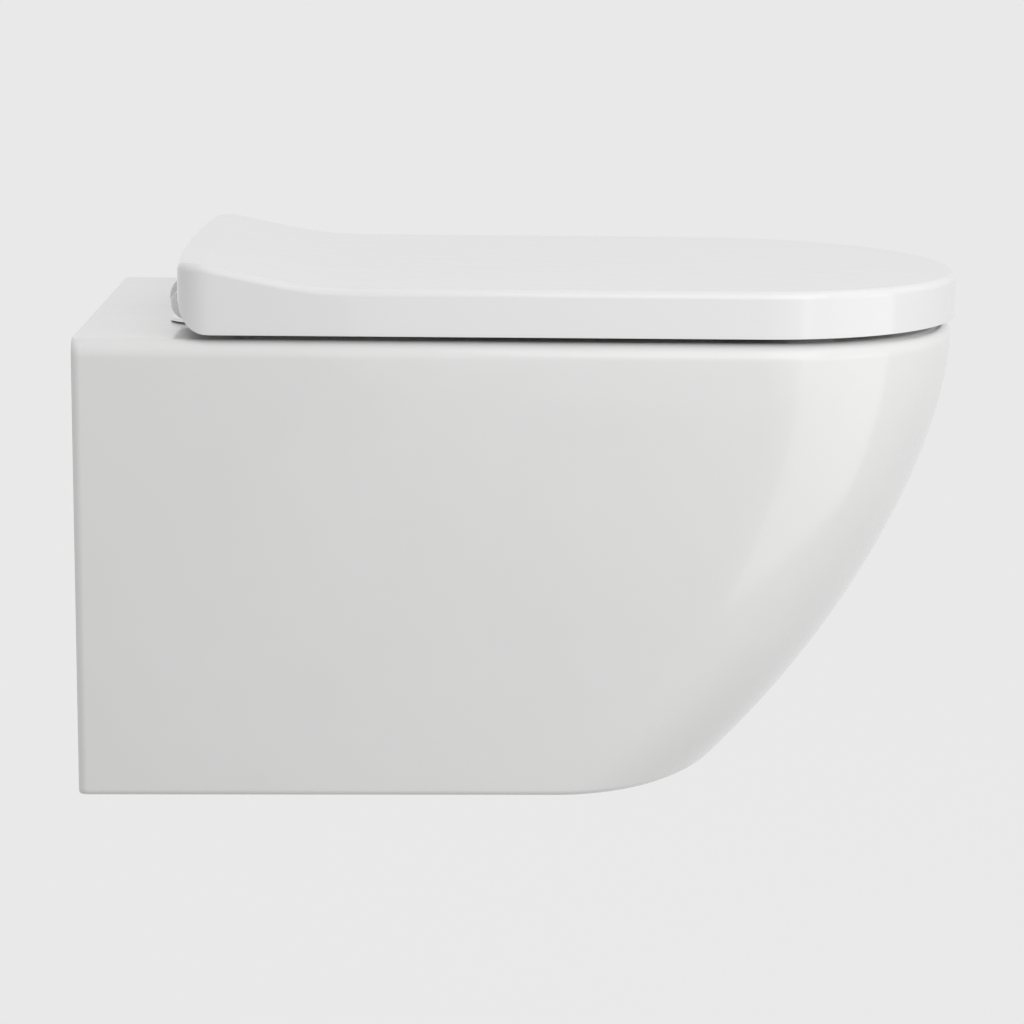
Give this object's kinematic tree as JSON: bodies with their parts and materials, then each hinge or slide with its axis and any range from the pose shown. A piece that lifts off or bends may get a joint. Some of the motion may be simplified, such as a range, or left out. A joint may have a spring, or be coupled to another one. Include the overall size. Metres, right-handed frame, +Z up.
{
  "type": "wall hung toilet",
  "caption": "Wall hung toilet: a boxy glazed pan with a swept front, open at the back, with a hinged ring seat and a wrap-over lid on quick-release hinges.",
  "frame": {"origin": "midway between the two wall studs, on the wall plane", "axes": "+Z up, +Y into the wall, -Y out of the wall towards the user, +X to the user's left when seated"},
  "size_m": [0.3594, 0.54, 0.3161],
  "materials": {
    "sanitary_ceramic": "white glaze on vitreous china, unglazed where it meets the wall and inside the hollow",
    "seat_white": "polished white moulded thermoset",
    "buffer_rubber": "pale grey soft rubber",
    "dark_rubber": "black rubber",
    "hinge_chrome": "polished chrome plate",
    "hinge_white": "white moulded plastic",
    "button_grey": "satin grey plastic",
    "damper_grey": "dark grey moulded plastic",
    "pin_steel": "ground stainless steel",
    "fixing_steel": "zinc-plated steel",
    "fixing_plastic": "natural nylon"
  },
  "bodies": {
    "pan": {"pan_ceramic": "sanitary_ceramic", "post_gaskets": "dark_rubber", "hinge_post_right": "hinge_chrome", "hinge_post_left": "hinge_chrome", "seat_bolts": "fixing_steel", "expanding_sleeves": "dark_rubber", "sleeve_nuts": "fixing_plastic", "stud_sleeves": "fixing_plastic", "clamp_blocks": "fixing_steel", "clamp_screws": "fixing_steel"},
    "hinge_carrier": {"hinge_block_right": "hinge_white", "hinge_block_left": "hinge_white", "lid_damper_shaft": "pin_steel", "seat_pin": "pin_steel", "seat_damper_shaft": "pin_steel", "lid_pin": "pin_steel"},
    "seat": {"seat_ring": "seat_white", "seat_buffers": "buffer_rubber", "seat_bush": "fixing_plastic", "seat_damper": "damper_grey"},
    "lid": {"lid_cover": "seat_white", "lid_buffers": "buffer_rubber", "lid_damper": "damper_grey", "lid_bush": "fixing_plastic"},
    "button_right": {"release_button_right": "button_grey"},
    "button_left": {"release_button_left": "button_grey"}
  },
  "joints": [
    {"name": "seat_lift_off", "type": "slide", "parent": "pan", "child": "hinge_carrier", "axis": [0, 0, 1], "range_m": [0, 0.04]},
    {"name": "seat_hinge", "type": "hinge", "parent": "hinge_carrier", "child": "seat", "pos_m": [0, -0.0635, 0.096], "axis": [-1, 0, 0], "range_deg": [0, 95]},
    {"name": "lid_hinge", "type": "hinge", "parent": "seat", "child": "lid", "pos_m": [0, -0.0635, 0.096], "axis": [1, 0, 0], "range_deg": [-95, 0]},
    {"name": "release_button_right_press", "type": "slide", "parent": "hinge_carrier", "child": "button_right", "axis": [0, 0, -1], "range_m": [0, 0.002], "stiffness_N_per_m": 400},
    {"name": "release_button_left_press", "type": "slide", "parent": "hinge_carrier", "child": "button_left", "axis": [0, 0, -1], "range_m": [0, 0.002], "stiffness_N_per_m": 400}
  ]
}
